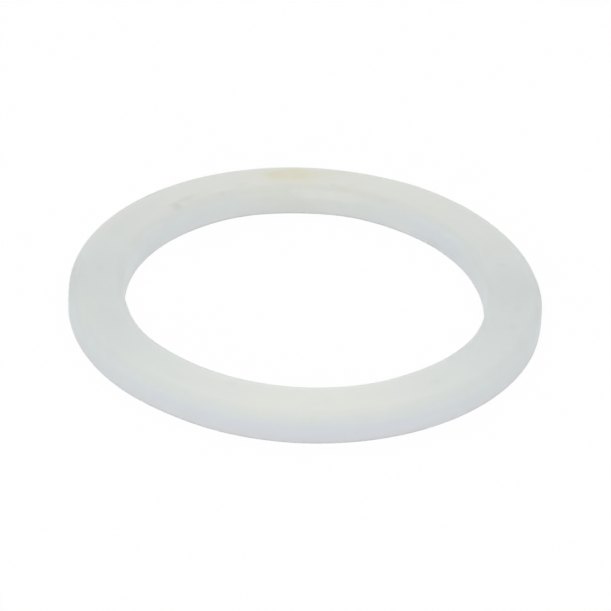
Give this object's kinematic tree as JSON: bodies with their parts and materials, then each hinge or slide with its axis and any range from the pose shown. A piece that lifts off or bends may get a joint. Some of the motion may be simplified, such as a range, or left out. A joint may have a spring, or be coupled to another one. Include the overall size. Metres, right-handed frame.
{
  "type": "group head gasket",
  "caption": "Flat silicone rubber ring that seals a filter holder's rim against the group head of an espresso machine, flat below, with round upper edges.",
  "frame": {"origin": "centre of the ring's flat underside, on its axis", "axes": "+Z along the ring's axis, from the flat underside towards the round-edged side; the ring is round, so X and Y are free"},
  "size_m": [0.073, 0.073, 0.0048],
  "materials": {
    "silicone": "satin, milky and translucent"
  },
  "bodies": {
    "root": {"gasket_ring": "silicone"}
  },
  "joints": []
}
